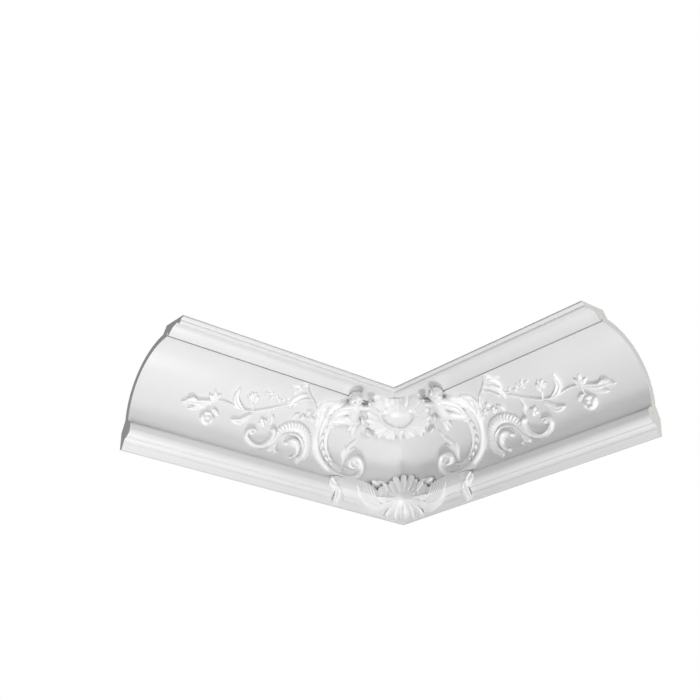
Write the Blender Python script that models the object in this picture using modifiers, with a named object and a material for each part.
"""Inside corner of a moulded cornice with rococo relief, cast in one in white rigid foam.

Frame: origin at the middle of the underside's bounding box, +Z up to the ceiling.
The side wall lies at the box's -X face and the back wall at its +Y face, so the moulded
face looks toward +X and -Y, and the two arms meet at 90 degrees.
"""
import math

import bmesh
import bpy
import numpy as np
from mathutils import Matrix

# Driving sizes, in metres.
HEIGHT = 0.150          # down the wall
PROJECTION = 0.140      # out along the ceiling
ARM_LENGTH = 0.505      # along each wall, from the corner
SHELL = 0.008           # wall of the cove
WALL_LAND = 0.0245      # flat back of the foot
CEILING_LAND = 0.0415   # flat top of the head
HEAD_DEPTH = 0.0385     # upper mouldings, from the lip back to the cove
HEAD_DROP = 0.0177      # upper mouldings, down from the ceiling
FOOT_HEIGHT = 0.0405    # lower mouldings, up from the underside
FOOT_SET = 0.0155       # foot of the cove, out from the wall
TORUS_OUT = 0.0227      # widest part of the lower round, out from the wall
PLAIN_SIDE = 0.070      # bare run at the cut end of the side arm
PLAIN_BACK = 0.044      # bare run at the cut end of the back arm

# The carving's own pattern, in units of about a millimetre: the cove is this many units
# round, and the branch's tip is this many units from the corner.
PATTERN_GIRTH = 138.5
PATTERN_REACH = 435.0

COVE_STEPS = 22
SINK = 0.0025           # how far the carved blocks sit in the moulding
BED = 0.002             # thickness of a carved block below its floor
BED_FOLLOWS = 0.6       # how nearly the carving follows the upper mouldings it runs over
ROSETTE_ROUND = 0.015   # how softly the rosette crosses the corner
PALMETTE_ROUND = 0.009
BLOCK_TRIANGLES = 5200  # of each carved block, before it is joined on
PART_TRIANGLES = 9800

WHITE = (0.86, 0.86, 0.85, 1.0)

# The cove is the arc that leaves its foot upright and passes through its head.
COVE_RISE = HEIGHT - HEAD_DROP - FOOT_HEIGHT
COVE_RUN = PROJECTION - HEAD_DEPTH - FOOT_SET
COVE_RADIUS = (COVE_RUN ** 2 + COVE_RISE ** 2) / (2.0 * COVE_RUN)
COVE_X = FOOT_SET + COVE_RADIUS
COVE_Z = FOOT_HEIGHT
COVE_HEAD = math.pi - math.atan2(COVE_RISE, COVE_RADIUS - COVE_RUN)
COVE_GIRTH = COVE_RADIUS * (math.pi - COVE_HEAD)
UNIT = COVE_GIRTH / PATTERN_GIRTH
FOOT_UNIT = FOOT_HEIGHT / 40.5


def arc(centre, radii, start, end, count):
    """Points on an upright ellipse's arc, angles in degrees from its +X."""
    turn = np.radians(np.linspace(start, end, count))
    return [(centre[0] + radii[0] * math.cos(a), centre[1] + radii[1] * math.sin(a)) for a in turn]


def upper_mouldings():
    """Fillet, bead and long hollow, from the lip back to its arris and the quirk."""
    x = HEAD_DEPTH / 38.5
    z = HEAD_DROP / 17.7

    def at(back, down):
        return (PROJECTION - back * x, HEIGHT - down * z)

    points = [at(0, 0), at(0, 2.4), at(0.9, 2.8)]
    points += arc(at(0.9, 5.0), (4.9 * x, 2.2 * z), 90, 165, 5)[1:]
    points += arc(at(9.3, 5.4), (3.7 * x, 3.4 * z), 0, -155, 8)
    points += [at(13.2, 6.0)]
    points += [at(13.2 + 21.8 * t, 6.0 + 11.4 * t ** 2.1) for t in np.linspace(0.0, 1.0, 11)[1:]]
    return points + [at(35.6, 17.3), at(36.4, 12.4), at(38.8, 12.6), at(40.0, 14.6)]


def lower_mouldings():
    """Quirk, torus, hollow and foot fillet, from the cove down to the wall's edge."""
    z = FOOT_UNIT
    x = TORUS_OUT / 22.7
    points = [(FOOT_SET, 38.6 * z)]
    points += arc((FOOT_SET, 31.5 * z), (TORUS_OUT - FOOT_SET, 6.0 * z), 75, 0, 5)
    points += arc((14.7 * x, 25.5 * z), (8 * x, 9 * z), 0, -75, 6)
    points += [(15.2 * x, 16.2 * z), (15.2 * x, 14.6 * z)]
    points += arc((15.2 * x, 8.2 * z), (6.6 * x, 6.4 * z), 100, 180, 5)
    return points + [(7.4 * x, 6.6 * z), (4.8 * x, 0.0)]


def cove(angle, out=0.0):
    """Place on the cove's circle, or `out` in front of it; past the cove's head, out is down."""
    lean = np.maximum(angle, COVE_HEAD)
    x = COVE_X + COVE_RADIUS * np.cos(angle) - out * np.cos(lean)
    return x, COVE_Z + COVE_RADIUS * np.sin(angle) - out * np.sin(lean)


def face_line():
    """The section's moulded side, lip first, as (distance from the wall, height)."""
    points = upper_mouldings()
    points += [cove(a) for a in np.linspace(COVE_HEAD, math.pi, COVE_STEPS + 1)]
    return points + lower_mouldings()


def section():
    """The whole closed section, a shell of even wall with its two lands."""
    back = PROJECTION - CEILING_LAND
    turn = math.acos(max(-1.0, (back - SHELL - COVE_X) / (COVE_RADIUS + SHELL)))
    points = face_line() + [(0.0, 0.0), (0.0, WALL_LAND)]
    points += [cove(a, -SHELL) for a in np.linspace(math.pi, turn, COVE_STEPS // 2 + 1)]
    return points + [(back, HEIGHT)]


def from_corner(off_side_wall, off_back_wall, height):
    """Places in the part's frame, from their distances off the two walls."""
    return np.stack([off_side_wall - ARM_LENGTH / 2, ARM_LENGTH / 2 - off_back_wall, height], axis=-1)


def smooth(points, count=12):
    """A curve through the points, Catmull-Rom, with `count` steps a span."""
    p = np.array([points[0]] + list(points) + [points[-1]], float)
    t = np.linspace(0.0, 1.0, count, endpoint=False)[:, None]
    spans = []
    for a, b, c, d in zip(p, p[1:], p[2:], p[3:]):
        spans.append(0.5 * (2 * b + (c - a) * t + (2 * a - 5 * b + 4 * c - d) * t ** 2
                            + (3 * b - a - 3 * c + d) * t ** 3))
    return np.vstack(spans + [p[-1:]])


def along(x, y, path):
    """Share of the way along the path and distance from it, for each place."""
    steps = np.diff(path, axis=0)
    lengths = np.hypot(steps[:, 0], steps[:, 1]) + 1e-9
    start = np.concatenate([[0.0], np.cumsum(lengths)])
    best = np.full(x.shape, 1e9)
    share = np.zeros(x.shape)
    for (ax, ay), (bx, by), length, begun in zip(path, steps, lengths, start):
        t = np.clip(((x - ax) * bx + (y - ay) * by) / length ** 2, 0.0, 1.0)
        dx = x - ax - t * bx
        dy = y - ay - t * by
        gap = np.hypot(dx, dy)
        near = gap < best
        best[near] = gap[near]
        share[near] = (begun + t[near] * length) / start[-1]
    return share, best


def taper(values, share):
    """A number, or a run of them spread evenly along a path."""
    values = np.atleast_1d(values)
    return np.interp(share, np.linspace(0.0, 1.0, len(values)), values)


class Relief:
    """Heights over a sheet of places, built up by the highest of its strokes."""

    def __init__(self, x, y):
        self.x, self.y = x, y
        self.height = np.full(x.shape, -99.0)

    def near(self, points, margin):
        points = np.atleast_2d(points)
        low, high = points.min(axis=0) - margin, points.max(axis=0) + margin
        inside = (self.x > low[0]) & (self.x < high[0]) & (self.y > low[1]) & (self.y < high[1])
        return np.nonzero(inside)[0]

    def lift(self, pick, height):
        self.height[pick] = np.maximum(self.height[pick], height)

    def band(self, points, width, height, crown=0.5, ribs=0, bite=0.0):
        """A rounded strip along a curve; ribs cross it and bite into it."""
        path = smooth(points)
        pick = self.near(path, np.max(width))
        share, gap = along(self.x[pick], self.y[pick], path)
        part = gap / taper(width, share)
        rise = taper(height, share) * np.clip(1.0 - part ** 2, 0.0, 1.0) ** crown
        if ribs:
            rise *= 1.0 - bite * (0.5 + 0.5 * np.cos(2 * math.pi * ribs * share)) * part
        self.lift(pick, np.where(part < 1.0, rise, -99.0))

    def leaf(self, points, width, height, lobes=0, groove=0.35):
        """A pointed leaf with a sunk midrib and a lobed edge."""
        path = smooth(points)
        pick = self.near(path, width)
        share, gap = along(self.x[pick], self.y[pick], path)
        half = width * np.sin(math.pi * np.clip(share, 0.02, 0.985) ** 0.8) ** 0.7
        if lobes:
            half *= 0.78 + 0.22 * np.abs(np.sin(math.pi * lobes * share))
        part = gap / half
        rise = height * np.clip(1.0 - part ** 2, 0.0, 1.0) ** 0.5
        rise *= 1.0 - groove * np.clip(1.0 - part * 2.5, 0.0, 1.0)
        self.lift(pick, np.where(part < 1.0, rise, -99.0))

    def dome(self, centre, radii, height, turn=0.0, base=0.0):
        """Half an ellipsoid, standing on `base`."""
        reach = max(radii)
        pick = self.near([centre], reach)
        a = math.radians(turn)
        dx, dy = self.x[pick] - centre[0], self.y[pick] - centre[1]
        u = (dx * math.cos(a) + dy * math.sin(a)) / radii[0]
        v = (dy * math.cos(a) - dx * math.sin(a)) / radii[1]
        part = u ** 2 + v ** 2
        rise = base + height * np.sqrt(np.clip(1.0 - part, 0.0, 1.0))
        self.lift(pick, np.where(part < 1.0, rise, -99.0))

    def flower(self, centre, radius, petals, height, turn=0.0):
        """Round petals about a raised heart."""
        pick = self.near([centre], radius)
        dx, dy = self.x[pick] - centre[0], self.y[pick] - centre[1]
        gap = np.hypot(dx, dy)
        lobe = np.abs(np.cos(0.5 * petals * (np.arctan2(dy, dx) - math.radians(turn))))
        edge = radius * (0.62 + 0.38 * lobe ** 0.6)
        part = gap / edge
        rise = height * np.clip(1.0 - part ** 3, 0.0, 1.0) ** 0.6 * (0.55 + 0.45 * lobe)
        self.lift(pick, np.where(part < 1.0, rise, -99.0))
        self.dome(centre, (radius * 0.28, radius * 0.28), height * 1.15)

    def fan(self, hub, heart, petals, crease=0.35, scallop=0.3, fade=0.0):
        """Petals side by side about an oval heart: each is (from, to, reach, height), in degrees."""
        pick = self.near([hub], max(reach for _, _, reach, _ in petals))
        dx, dy = self.x[pick] - hub[0], self.y[pick] - hub[1]
        gap = np.hypot(dx, dy)
        turn = np.degrees(np.arctan2(dy, dx))
        inner = gap / np.maximum(np.hypot(dx / heart[0], dy / heart[1]), 1e-6)
        for low, high, reach, height in petals:
            wide = (high - low) % 360.0
            v = ((turn - low) % 360.0) / wide * 2.0 - 1.0
            t = (gap - inner) / (reach - inner) / (1.0 - scallop * np.minimum(np.abs(v), 1.0) ** 3)
            t = np.clip(t, 0.0, 2.0)
            edge = (1.0 - np.minimum(np.abs(v), 1.0)) * math.radians(wide) * gap / 2.0
            rise = height * (1.0 - 0.25 * np.minimum(t, 1.0) * v ** 2)
            rise *= np.clip(1.0 - t ** 6, 0.0, 1.0) ** 0.5
            rise *= 1.0 - crease * np.clip(t * 2.5 - fade, 0.0, 1.0) * np.exp(-(edge / 1.4) ** 2)
            self.lift(pick, np.where((np.abs(v) <= 1.0) & (t < 1.0), rise, -99.0))

    def beads(self, points, radii, height, count):
        """Long beads set end to end along a curve."""
        path = smooth(points)
        for k in range(count):
            at = (k + 0.5) / count * (len(path) - 1)
            low = int(at)
            place = path[low] + (path[low + 1] - path[low]) * (at - low)
            lead = path[low + 1] - path[low]
            self.dome(place, radii, height, math.degrees(math.atan2(lead[1], lead[0])))


def carve_scroll(r):
    """The big C scroll with its bead strip, volute and inner spray."""
    outer = [(199, 26), (203, 42), (204, 60), (203, 74), (200, 87), (195, 101), (187, 114), (176, 125),
             (161, 133), (145, 137), (128, 136.5), (114, 131), (107, 120), (108.5, 108.5), (116, 101),
             (125, 101.5), (131, 108), (129, 117), (121, 118)]
    r.band([(189, 44), (192.5, 62), (192.5, 75), (189.5, 88), (184, 101), (175, 114), (162, 123), (148, 127)],
           8.0, 3.2, crown=0.25)
    r.beads([(193, 50), (194, 62), (193.5, 75), (190, 88), (184.5, 101), (176, 113), (166, 120)],
            (4.6, 2.9), 5.4, 10)
    r.band([(181, 48), (183.5, 64), (183, 77), (179.5, 92), (172, 107), (160, 118.5), (146, 123), (134, 121)],
           [1.6, 2.2, 2.2, 2.0], 5.2)
    r.dome((120, 111), (11, 11), 7.0)
    r.band(outer, [4.5, 6.0, 6.0, 5.5, 6.0, 5.0, 3.0], [5, 7, 7, 7, 8, 9, 9.5])
    r.leaf([(141, 116), (138.5, 100), (134.5, 88), (130.5, 77), (126, 66)], 4.4, 4.0)
    r.leaf([(137, 114), (141, 101), (143.5, 86)], 3.2, 3.4)
    r.leaf([(137, 104), (131, 92), (123, 84)], 2.4, 3.0)
    r.leaf([(152, 126), (165, 113), (170, 97)], 2.6, 3.0)


def carve_putto(r):
    """A seated child of general form: round limbs, turned head, curls."""
    r.band([(178, 3), (172, 14), (167, 25), (164, 31)], [9.5, 10.0, 10.5, 9.5], [15, 16, 16.5, 15])
    r.band([(164, 31), (172, 41), (180, 49)], [8.0, 7.5, 5.5], [15, 15, 12.5])
    r.band([(180, 49), (182, 57), (184, 66)], [5.0, 4.4, 3.4], [11.5, 9, 6.5])
    r.band([(161, 32), (153, 37), (147, 40)], [7.5, 7.0, 5.2], [14.5, 13.5, 11])
    r.band([(147, 40), (149, 49), (152, 58)], [4.8, 4.4, 3.2], [10.5, 8.5, 6])
    r.band([(182, 4), (191, 11), (196, 16)], [5.6, 4.8, 4.0], [14, 13, 12])
    r.band([(196, 16), (191, 21), (185, 25)], [4.0, 3.6, 3.2], [12, 12.5, 13])
    r.band([(172, 1), (166, 0), (162, -6)], [5.6, 4.8, 4.0], [13, 12, 10])
    r.band([(162, -6), (166, -11), (172, -16)], [4.0, 3.6, 3.0], [10, 10, 10])
    r.band([(178, 2), (184, -7)], [6.0, 5.5], [14, 14])
    r.band([(156, 24), (166, 29), (176, 32), (184, 30)], [4.0, 5.0, 5.0, 3.0], [12, 17.5, 15.5, 8])
    head = (190, -15)
    r.dome(head, (11.0, 12.5), 11.0, base=7.5)
    for k in range(9):
        a = math.radians(-150 + 30 * k)
        r.dome((head[0] + 9 * math.cos(a), head[1] + 10 * math.sin(a)), (3.4, 3.6), 5.0, base=10.0)
    r.dome((head[0] + 1, head[1] + 3.2), (1.5, 2.2), 2.2, base=17.0)
    for side in (-3.4, 4.8):
        r.dome((head[0] + side, head[1] + 4.6), (2.9, 2.9), 2.4, base=13.4)


def carve_crest(r):
    """Acanthus at the head of the scroll and the crest that sweeps out from it."""
    r.leaf([(205, 50), (202, 34), (194, 20), (181, 12)], 10.5, 10.5, groove=0.1)
    r.leaf([(202, 66), (212, 50), (216, 34), (209, 18)], 8.0, 6.8, lobes=3)
    r.leaf([(203, 66), (214, 54), (218, 42)], 4.5, 5.0, lobes=2)
    r.leaf([(218, 62), (228, 44), (244, 33), (258, 24), (266, 12), (268, -2)], 8.0, 7.0, lobes=4)
    r.leaf([(246, 32), (259, 42), (263, 58)], 6.5, 5.5, lobes=2)
    r.leaf([(258, 28), (270, 36), (277, 50)], 5.0, 5.0, lobes=2)
    r.flower((231, 63), 8.0, 5, 5.5)
    r.leaf([(226, 58), (219, 62), (216, 70)], 4.5, 5.0)
    r.leaf([(236, 58), (243, 60), (246, 68)], 4.5, 5.0)


def carve_shell(r):
    """The fluted comb, the small scroll inside it and the open C beside it."""
    comb = [(272, 122), (269, 111), (264, 97), (255, 86), (241, 80.5), (226, 83), (215, 93), (211, 106),
            (213, 119), (223, 129)]
    r.band(comb, [5.0, 7.5, 8.5, 8.5, 8.0, 5.0], [4.5, 6.0, 6.5, 6.5, 6.0, 4.5], 0.35, ribs=19, bite=0.45)
    r.band([(265, 112), (260, 101), (252, 93), (241, 89), (229, 91), (221, 99), (218, 108), (220, 118)],
           [1.8, 2.4, 2.4, 1.8], 6.6)
    r.dome((272, 123.5), (7.5, 5.0), 5.0, turn=15)
    r.band([(250, 108.5), (242, 101.5), (232, 100), (225.5, 108), (227, 119), (234, 127), (244, 130)],
           [4.2, 3.0, 5.2, 6.8, 6.0, 4.5, 3.2], [7, 6, 7, 7.5, 6.5, 6, 4.5])
    r.band([(311, 107), (318, 111), (317, 120), (306, 125.5), (293, 125), (281, 118), (275, 107), (275.5, 97)],
           [3.6, 3.0, 4.0, 5.2, 5.6, 5.2, 4.6, 5.2], [6, 4.5, 5, 6, 6, 6, 6, 7])


def carve_branch(r):
    """The flowering branch that runs out to the arm's bare end."""
    r.band([(258, 46), (276, 57), (291, 67), (309, 73.5), (322, 77.5), (340, 79), (357, 77), (374, 76.5),
            (388, 79), (402, 83)], [2.6, 2.2, 1.9, 1.7], [4.0, 3.6, 3.2, 3.0])
    r.leaf([(396, 81), (412, 83), (436, 92)], 5.2, 5.0)
    r.leaf([(394, 83), (408, 91), (425, 96)], 4.2, 4.0)
    r.leaf([(394, 80), (408, 78), (424, 83)], 3.4, 3.6)
    r.flower((387, 69), 9.0, 6, 4.6, turn=15)
    r.band([(385, 78), (389, 86), (388, 94)], 1.6, 3.2)
    r.dome((387.5, 102), (7.0, 8.5), 6.8, turn=15)
    for turn in (-60, 0, 60, 120, 180):
        a = math.radians(turn + 90)
        r.dome((387.5 + 5.5 * math.cos(a), 102 + 6.5 * math.sin(a)), (4.6, 3.2), 5.2, turn=turn)
    r.leaf([(342, 79), (352, 68), (356.5, 58), (358, 46)], 5.0, 4.6)
    r.flower((330.5, 56.5), 8.2, 6, 5.4)
    r.band([(329, 62), (321, 71), (308, 72)], 1.6, 3.2)
    r.leaf([(320, 79), (330, 91), (351, 96)], 6.0, 4.8, lobes=2)
    r.band([(284, 63), (287, 71), (290, 80)], 1.7, 3.4)
    r.flower((294.5, 87), 8.2, 5, 5.2, turn=70)
    r.band([(262, 46), (277, 46), (294, 46.5), (311, 42)], 1.4, 3.0)
    for place, turn in (((283, 41.5), -50), ((290, 51), 45), ((298, 41.5), -45), ((305, 48.5), 35),
                        ((312, 41), -15)):
        r.dome(place, (4.6, 2.3), 3.4, turn=turn)


def arm_relief(along_arm, down_cove):
    """Heights of one arm's carving, in pattern lengths from the corner and the cove's head."""
    r = Relief(along_arm, down_cove)
    carve_scroll(r)
    carve_crest(r)
    carve_shell(r)
    carve_branch(r)
    carve_putto(r)
    return r.height


def rosette_relief(across, down_cove):
    """Petals, rim and boss of the rosette that bridges the corner."""
    r = Relief(across, down_cove)
    heart = (1.5, 24.0)
    right = [(78, 90, 30, 5.0), (52, 78, 40, 8.6), (36, 52, 58, 8.4), (17, 36, 58, 8.0), (-8, 17, 48, 8.6),
             (-42, -8, 44, 8.2), (-90, -42, 34, 7.6)]
    left = [(180 - high, 180 - low, reach, height) for low, high, reach, height in right]
    r.fan(heart, (26.0, 20.0), right + left)
    curls = (((46, 60), (6.5, 4.5), 9.8), ((51, 45), (4.5, 6.0), 9.2), ((43, 16), (4.0, 6.5), 9.0),
             ((31, -2), (5.5, 4.0), 8.6), ((13, -16), (4.0, 3.4), 9.0))
    for side in (-1, 1):
        for place, radii, height in curls:
            r.dome((heart[0] + side * place[0], place[1]), radii, height)
    r.leaf([(1.5, 30), (1.5, 44), (1.5, 58)], 6.0, 10.0, groove=0.0)
    r.band([(1.5, 2), (1.5, -8), (1.5, -22)], [5.5, 4.5, 5.5], [9.0, 9.0, 8.5])
    rim = []
    for a in np.radians(np.arange(-180, 181, 12)):
        drop = 21 if a < 0 else 8
        rim.append((heart[0] + 25 * math.cos(a), heart[1] + 5 + drop * math.sin(a)))
    r.band(rim, 3.6, 9.4)
    r.dome((heart[0], heart[1] - 1), (19.0, 13.0), 9.0, base=3.0)
    return r.height


def palmette_relief(across, height):
    """The shell on the lower mouldings and the acanthus that wraps them on both sides."""
    r = Relief(across, height)
    hub = (2.8, 29.0)
    tips = [184, 201, 216, 232, 251, 289, 308, 324, 339, 356]
    reaches = [40, 42, 39, 32, 27, 32, 39, 42, 40]
    lobes = [(low, high, reach, 10.4) for low, high, reach in zip(tips, tips[1:], reaches)]
    r.fan(hub, (3.0, 3.0), lobes, fade=0.9)
    r.dome((hub[0], hub[1] - 2), (22, 15), 12.2)
    r.band([(2.8, 34), (2.8, 48), (2.8, 61), (2.8, 65)], [4.0, 4.2, 5.0, 4.8], [10, 8, 6.2, 6])
    for side in (-1, 1):
        def off(u, z):
            return (2.8 + side * u, z)

        r.band([off(4, 33), off(7, 46), off(10.5, 57), off(11.4, 61)], [4.4, 4.8, 5.6, 5.4], [10, 8, 6.0, 5.6])
        r.band([off(9, 32), off(15, 42), off(18, 50), off(17.5, 53)], [3.8, 4.2, 4.4, 4.0], [9.6, 7.4, 5.8, 5.6])
        r.band([off(13, 30), off(20, 36), off(25, 42), off(29, 47)], [3.2, 3.4, 3.2, 2.6], [10, 8.2, 7.4, 7])
        r.band([off(92, 28), off(74, 30), off(58, 30), off(46, 26)], [12, 13, 14, 12], [3.2, 3.6, 4.2, 4.6])
        r.leaf([off(64, 34), off(56, 20), off(40, 11), off(24, 15)], 8.0, 6.6, groove=0.0)
        r.band([off(37, 48.5), off(29, 49.5), off(22.5, 42), off(21, 30), off(27, 18), off(36, 12), off(49, 12),
                off(60, 17)], [3.0, 2.8, 2.8, 3.0, 3.0, 2.8, 2.0], [6.0, 8.0, 8.6, 8.6, 8.2, 7.6, 6.0])
        r.dome(off(40, 46.5), (6.4, 5.0), 8.0)
        r.leaf([off(44, 25), off(37, 20), off(29, 22), off(28, 31)], 5.0, 7.2)
        for k in range(3):
            r.band([off(60 - 7 * k, 41), off(56 - 7 * k, 28), off(46 - 5 * k, 17)], 2.0, 7.0)
        r.band([off(86, 37), off(92, 27), off(93, 17), off(98, 5)], [3.0, 2.4, 2.0], [4.6, 5.4, 4.6])
        r.band([off(98, 34), off(93, 26), off(88, 16), off(94, 4)], [3.0, 2.2, 2.0], [4.6, 5.0, 4.2])
    return r.height


def head_gap(w):
    """How far the mouldings above the cove's head lie behind its own curve carried on."""
    x, z = cove(COVE_HEAD + w * UNIT / COVE_RADIUS)
    line = np.array(face_line())
    head = line[line[:, 0] >= PROJECTION - 0.93 * HEAD_DEPTH][::-1]
    head = np.vstack([cove(COVE_HEAD), head])
    face = np.interp(x, head[:, 0], head[:, 1])
    return np.where(x > PROJECTION - HEAD_DEPTH, np.minimum(z - face, 0.0), 0.0)


def foot_face(height):
    """Distance of the moulding's face from the wall, at a height above the underside."""
    line = np.array(face_line())[::-1]
    return np.interp(height, line[:, 1], line[:, 0])


def foot_envelope(height):
    """An even swell over the lower mouldings, for the palmette to lie on."""
    knots = np.array([(0, 6), (9, 12.5), (16, 18), (23, 22.7), (31, 23), (45, 22), (60, 20.5), (75, 19.5)])
    return np.interp(height, knots[:, 0] * FOOT_UNIT, knots[:, 1] * TORUS_OUT / 22.7)


def arm_block(arm):
    """One arm's carving, laid on the cove."""
    stretch = (ARM_LENGTH - (PLAIN_SIDE if arm == "side" else PLAIN_BACK)) / PATTERN_REACH

    def place(s, w, h):
        x, z = cove(COVE_HEAD + w * UNIT / COVE_RADIUS, h + BED_FOLLOWS * head_gap(w))
        run = s * stretch
        return from_corner(x, run, z) if arm == "side" else from_corner(run, x, z)

    def floor(s, w):
        return (1.0 - BED_FOLLOWS) * head_gap(w) - SINK

    return block(arm + "_arm_carving", (98.0, 441.0), (-30.0, 137.5), (230, 115), place, arm_relief, floor)


def spread(u):
    """Pattern units to one side of the mitre as a length, drawn out along the back arm."""
    return u * UNIT * np.where(u > 0.0, (ARM_LENGTH - PLAIN_BACK) / (ARM_LENGTH - PLAIN_SIDE), 1.0)


def fill(u, rounding):
    """How far a soft corner stands out of the sharp one."""
    return np.hypot(spread(u), rounding) - np.abs(spread(u))


def across_corner(u, depth, rounding, out=0.0):
    """Distances off the two walls of a place on the rounded corner."""
    u = spread(u)
    out = out + np.hypot(u, rounding)
    return (out + u) / math.sqrt(2.0) + depth, (out - u) / math.sqrt(2.0) + depth


def rosette_block():
    """The rosette's carving, bent softly across the corner at the head of the cove."""
    def place(u, w, h):
        depth, z = cove(COVE_HEAD + w * UNIT / COVE_RADIUS, h + BED_FOLLOWS * head_gap(w))
        return from_corner(*across_corner(u, depth, ROSETTE_ROUND), z)

    def floor(u, w):
        angle = np.maximum(COVE_HEAD, COVE_HEAD + w * UNIT / COVE_RADIUS)
        behind = fill(u, ROSETTE_ROUND) * np.abs(np.cos(angle)) / math.sqrt(2.0)
        return (1.0 - BED_FOLLOWS) * head_gap(w) - behind - SINK

    return block("rosette_carving", (-72.0, 72.0), (-30.0, 66.0), (120, 80), place, rosette_relief, floor)


def palmette_block():
    """The palmette's carving, laid across the corner over the lower mouldings."""
    def place(u, z, h):
        z = z * FOOT_UNIT
        return from_corner(*across_corner(u, foot_envelope(z), PALMETTE_ROUND, h), z)

    def floor(u, z):
        z = z * FOOT_UNIT
        return math.sqrt(2.0) * (foot_face(z) - foot_envelope(z)) - fill(u, PALMETTE_ROUND) - SINK

    return block("palmette_carving", (-112.0, 112.0), (0.8, 74.0), (190, 62), place, palmette_relief, floor)


def block(name, span_x, span_y, count, place, relief, floor):
    """A closed carved block: a grid set out by `place`, raised to the relief over a sunk floor."""
    wide, deep = count[0] + 1, count[1] + 1
    x, y = np.meshgrid(np.linspace(*span_x, wide), np.linspace(*span_y, deep))
    base = floor(x, y)
    height = np.maximum(relief(x.ravel(), y.ravel()).reshape(x.shape) * UNIT, base)
    for edge in (height[0], height[-1], height[:, 0], height[:, -1]):
        edge[:] = -1.0
    height = np.maximum(height, base)
    upper = place(x.ravel(), y.ravel(), height.ravel())
    lower = place(x.ravel(), y.ravel(), base.ravel() - BED)
    upper[:, 2] = np.minimum(upper[:, 2], HEIGHT - BED)
    lower[:, 2] = np.minimum(lower[:, 2], HEIGHT - BED / 2)
    grid = np.arange(wide * deep).reshape(deep, wide)
    cells = np.stack([grid[:-1, :-1], grid[:-1, 1:], grid[1:, 1:], grid[1:, :-1]], axis=-1).reshape(-1, 4)
    rim = np.concatenate([grid[0], grid[1:, -1], grid[-1, -2::-1], grid[-2:0:-1, 0]])
    following = np.roll(rim, -1)
    walls = np.stack([following, rim, rim + grid.size, following + grid.size], axis=1)
    faces = np.concatenate([cells, cells[:, ::-1] + grid.size, walls])
    mesh = bpy.data.meshes.new(name)
    mesh.from_pydata(np.concatenate([upper, lower]), [], faces)
    bm = bmesh.new()
    bm.from_mesh(mesh)
    bmesh.ops.recalc_face_normals(bm, faces=bm.faces)
    bm.to_mesh(mesh)
    bm.free()
    obj = bpy.data.objects.new(name, mesh)
    obj.hide_render = True
    obj.display_type = "WIRE"
    thin = obj.modifiers.new("few_faces", "DECIMATE")
    thin.ratio = BLOCK_TRIANGLES / (len(mesh.polygons) * 2.0)
    return obj


def moulding(name, collection):
    """The plain corner: the section drawn out along one wall and mirrored at the mitre."""
    curve = bpy.data.curves.new(name + "_section", "CURVE")
    curve.dimensions = "2D"
    curve.fill_mode = "BOTH"
    curve.extrude = ARM_LENGTH / 2
    points = section()
    spline = curve.splines.new("POLY")
    spline.points.add(len(points) - 1)
    for point, (x, z) in zip(spline.points, points):
        point.co = (x, z, 0.0, 1.0)
    spline.use_cyclic_u = True
    drawn = bpy.data.objects.new(name + "_section", curve)
    drawn.matrix_world = Matrix(((0, 0, -1, 0), (-1, 0, 0, ARM_LENGTH / 2), (0, 1, 0, 0), (0, 0, 0, 1)))
    collection.objects.link(drawn)
    bpy.context.view_layer.update()
    mesh = bpy.data.meshes.new_from_object(drawn.evaluated_get(bpy.context.evaluated_depsgraph_get()))
    mesh.transform(drawn.matrix_world)
    bpy.data.objects.remove(drawn)
    bm = bmesh.new()
    bm.from_mesh(mesh)
    bmesh.ops.remove_doubles(bm, verts=bm.verts, dist=1e-6)
    bmesh.ops.recalc_face_normals(bm, faces=bm.faces)
    bm.to_mesh(mesh)
    bm.free()
    obj = bpy.data.objects.new(name, mesh)
    collection.objects.link(obj)
    corner = bpy.data.objects.new("mitre", None)
    corner.location = (-ARM_LENGTH / 2, ARM_LENGTH / 2, 0.0)
    corner.rotation_euler = (0.0, 0.0, math.radians(45.0))
    collection.objects.link(corner)
    mirror = obj.modifiers.new("mitre", "MIRROR")
    mirror.mirror_object = corner
    mirror.use_axis = (True, False, False)
    mirror.use_bisect_axis = (True, False, False)
    mirror.merge_threshold = 1e-5
    return obj


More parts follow.
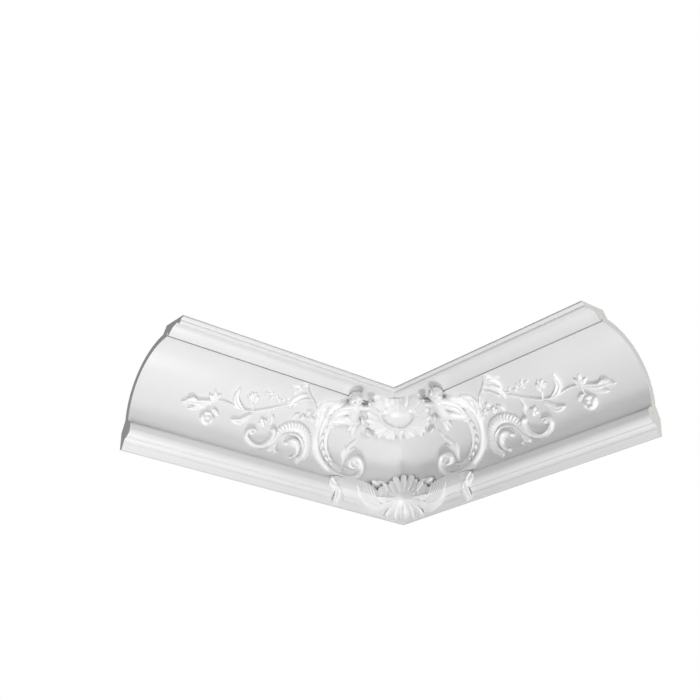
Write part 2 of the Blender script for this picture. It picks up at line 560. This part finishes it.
def join_carving(body, carving):
    """The moulding and its carved blocks as one skin, without the pockets shut between blocks."""
    union = body.modifiers.new("carving", "BOOLEAN")
    union.operation = "UNION"
    union.operand_type = "COLLECTION"
    union.collection = carving
    union.solver = "EXACT"
    bpy.context.view_layer.update()
    mesh = bpy.data.meshes.new_from_object(body.evaluated_get(bpy.context.evaluated_depsgraph_get()))
    body.modifiers.remove(union)
    plain = bpy.data.meshes.new_from_object(body.evaluated_get(bpy.context.evaluated_depsgraph_get()))
    kept = {tuple(round(c, 5) for c in v.co) for v in plain.vertices}
    body.modifiers.clear()
    bm = bmesh.new()
    bm.from_mesh(mesh)
    bmesh.ops.triangulate(bm, faces=bm.faces)
    bmesh.ops.dissolve_degenerate(bm, dist=2e-5, edges=bm.edges)
    bmesh.ops.triangulate(bm, faces=bm.faces)
    skins = []
    left = set(bm.verts)
    while left:
        skin, edge = set(), {left.pop()}
        while edge:
            skin |= edge
            edge = {e.other_vert(v) for v in edge for e in v.link_edges} - skin
        left -= skin
        skins.append(skin)
    skins.sort(key=len)
    bmesh.ops.delete(bm, geom=[v for skin in skins[:-1] for v in skin], context="VERTS")
    bm.to_mesh(mesh)
    triangles = len(bm.faces)
    bm.free()
    body.data = mesh
    carved = body.vertex_groups.new(name="carved")
    relief = [v.index for v in mesh.vertices if tuple(round(c, 5) for c in v.co) not in kept]
    carved.add(relief, 1.0, "REPLACE")
    thin = body.modifiers.new("few_faces", "DECIMATE")
    thin.vertex_group = carved.name
    thin.vertex_group_factor = 1000.0
    thin.ratio = min(1.0, PART_TRIANGLES / triangles)


def main():
    for obj in list(bpy.data.objects):
        bpy.data.objects.remove(obj)
    parts = bpy.data.collections.new("cornice")
    carving = bpy.data.collections.new("carving")
    for collection in (parts, carving):
        bpy.context.scene.collection.children.link(collection)
    corner = moulding("cornice_corner", parts)
    for piece in (arm_block("side"), arm_block("back"), rosette_block(), palmette_block()):
        carving.objects.link(piece)
    join_carving(corner, carving)
    foam = bpy.data.materials.new("white_foam")
    foam.use_nodes = True
    surface = foam.node_tree.nodes["Principled BSDF"]
    surface.inputs["Base Color"].default_value = WHITE
    surface.inputs["Roughness"].default_value = 0.55
    surface.inputs["Metallic"].default_value = 0.0
    corner.data.materials.append(foam)


main()
